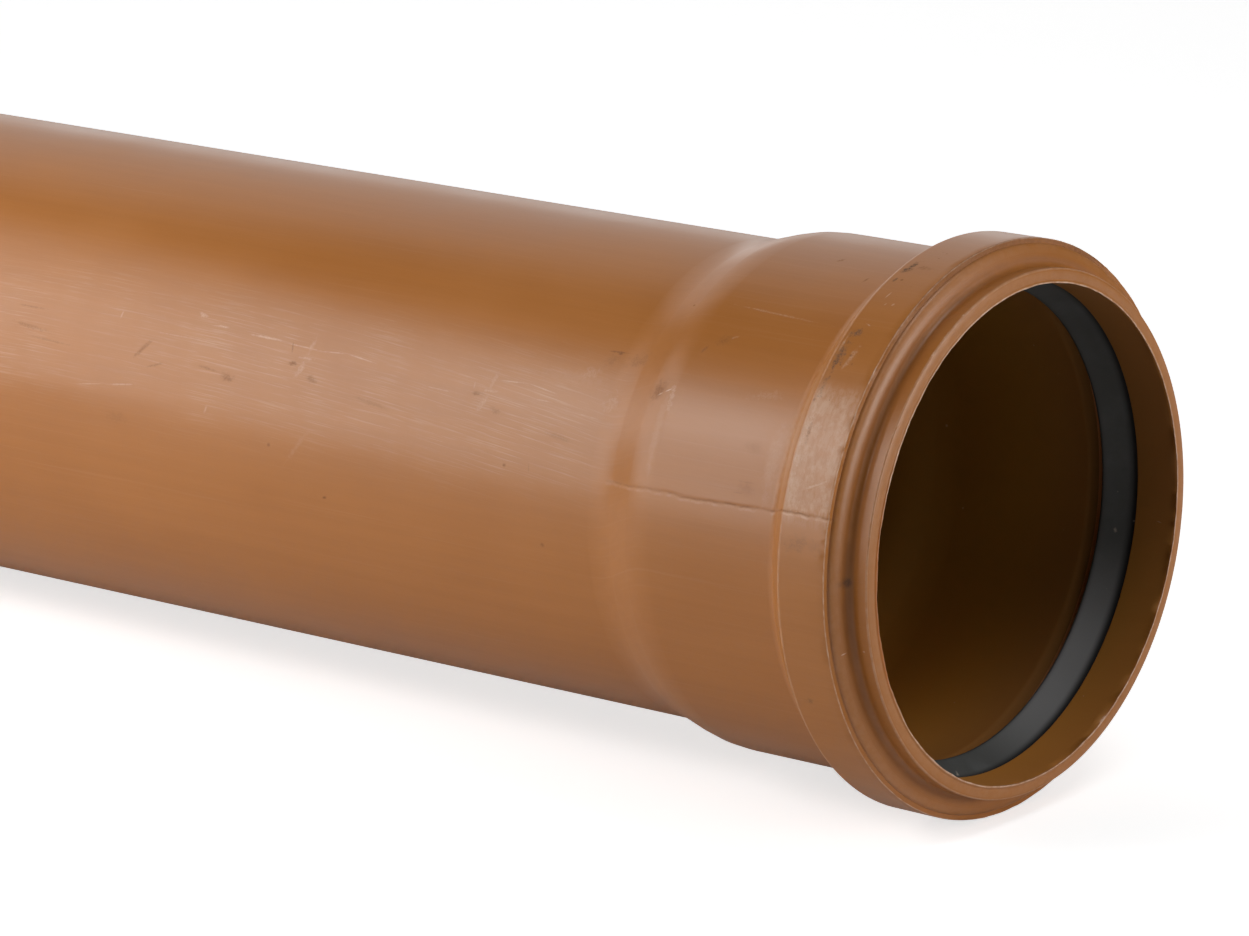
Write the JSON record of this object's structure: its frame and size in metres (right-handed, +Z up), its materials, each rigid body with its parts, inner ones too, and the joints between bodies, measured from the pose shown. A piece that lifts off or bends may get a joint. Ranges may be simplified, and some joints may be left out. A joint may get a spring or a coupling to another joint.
{
  "type": "plastic drain pipe with push-fit socket",
  "caption": "Straight orange-brown PVC-U drain pipe, chamfered at its spigot end, with a formed push-fit socket and a black rubber lip seal in the socket's bead.",
  "frame": {"origin": "on the floor, under the middle of the pipe's length", "axes": "+X along the pipe towards the socket's mouth, +Z up; the pipe lies on the back edge of its bead and on the end of its barrel, so its axis rises 0.99 degrees towards +X"},
  "size_m": [0.5728, 0.129, 0.1291],
  "materials": {
    "pipe": "semi-gloss orange-brown PVC-U, finely scratched",
    "seal": "smooth black rubber"
  },
  "bodies": {
    "root": {"pipe": "pipe", "seal_ring": "seal"}
  },
  "joints": []
}
